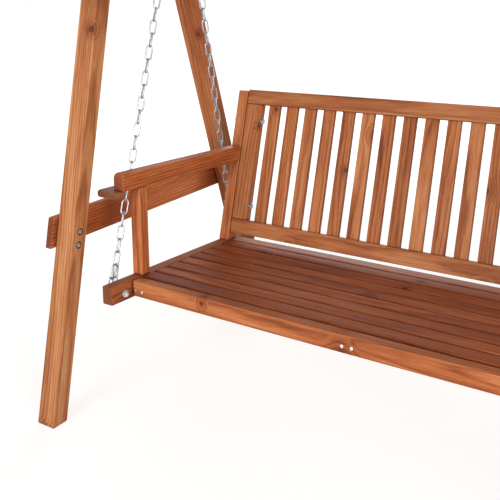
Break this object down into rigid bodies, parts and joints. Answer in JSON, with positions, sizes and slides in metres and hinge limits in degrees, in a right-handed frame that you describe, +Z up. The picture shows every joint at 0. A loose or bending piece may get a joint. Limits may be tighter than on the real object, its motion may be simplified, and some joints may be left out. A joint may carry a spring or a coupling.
{
  "type": "porch swing",
  "caption": "Wooden porch swing: slatted bench with back and arm rails, hung on chains under the beam of a free-standing A-frame.",
  "frame": {"origin": "on the ground under the middle of the stand", "axes": "+X along the bench towards the sitter's left, +Z up, the sitter faces -Y"},
  "size_m": [1.9632, 1.0984, 1.7956],
  "materials": {
    "frame_wood": "orange-brown stained softwood, satin",
    "bench_wood": "orange-brown stained softwood, satin",
    "zinc_steel": "bright zinc plated"
  },
  "bodies": {
    "stand": {"top_beam": "frame_wood", "left_front_leg": "frame_wood", "left_front_leg_bolt_1": "zinc_steel", "left_front_leg_bolt_2": "zinc_steel", "left_rear_leg": "frame_wood", "left_rear_leg_bolt_1": "zinc_steel", "left_rear_leg_bolt_2": "zinc_steel", "left_side_board": "frame_wood", "left_top_board": "frame_wood", "left_beam_bolt": "zinc_steel", "left_eye_bolt": "zinc_steel", "right_front_leg": "frame_wood", "right_front_leg_bolt_1": "zinc_steel", "right_front_leg_bolt_2": "zinc_steel", "right_rear_leg": "frame_wood", "right_rear_leg_bolt_1": "zinc_steel", "right_rear_leg_bolt_2": "zinc_steel", "right_side_board": "frame_wood", "right_top_board": "frame_wood", "right_beam_bolt": "zinc_steel", "right_eye_bolt": "zinc_steel"},
    "bench": {"front_rail": "bench_wood", "middle_bearer": "bench_wood", "back_panel": "bench_wood", "seat_slat_1": "bench_wood", "seat_slat_2": "bench_wood", "seat_slat_3": "bench_wood", "seat_slat_4": "bench_wood", "seat_slat_5": "bench_wood", "seat_slat_6": "bench_wood", "seat_slat_7": "bench_wood", "seat_slat_8": "bench_wood", "seat_slat_9": "bench_wood", "left_front_chain": "zinc_steel", "left_front_chain_bolt": "zinc_steel", "left_rear_chain": "zinc_steel", "left_rear_chain_bolt": "zinc_steel", "left_hook": "zinc_steel", "left_side_rail": "bench_wood", "left_bearer": "bench_wood", "left_arm_post": "bench_wood", "left_arm_rail": "bench_wood", "left_arm_ledge": "bench_wood", "left_back_post": "bench_wood", "left_back_bolt_1": "zinc_steel", "left_back_bolt_2": "zinc_steel", "right_front_chain": "zinc_steel", "right_front_chain_bolt": "zinc_steel", "right_rear_chain": "zinc_steel", "right_rear_chain_bolt": "zinc_steel", "right_hook": "zinc_steel", "right_side_rail": "bench_wood", "right_bearer": "bench_wood", "right_arm_post": "bench_wood", "right_arm_rail": "bench_wood", "right_arm_ledge": "bench_wood", "right_back_post": "bench_wood", "right_back_bolt_1": "zinc_steel", "right_back_bolt_2": "zinc_steel"}
  },
  "joints": [
    {"name": "swing", "type": "hinge", "parent": "stand", "child": "bench", "pos_m": [0, 0, 1.664], "axis": [1, 0, 0], "range_deg": [-20, 20]}
  ]
}
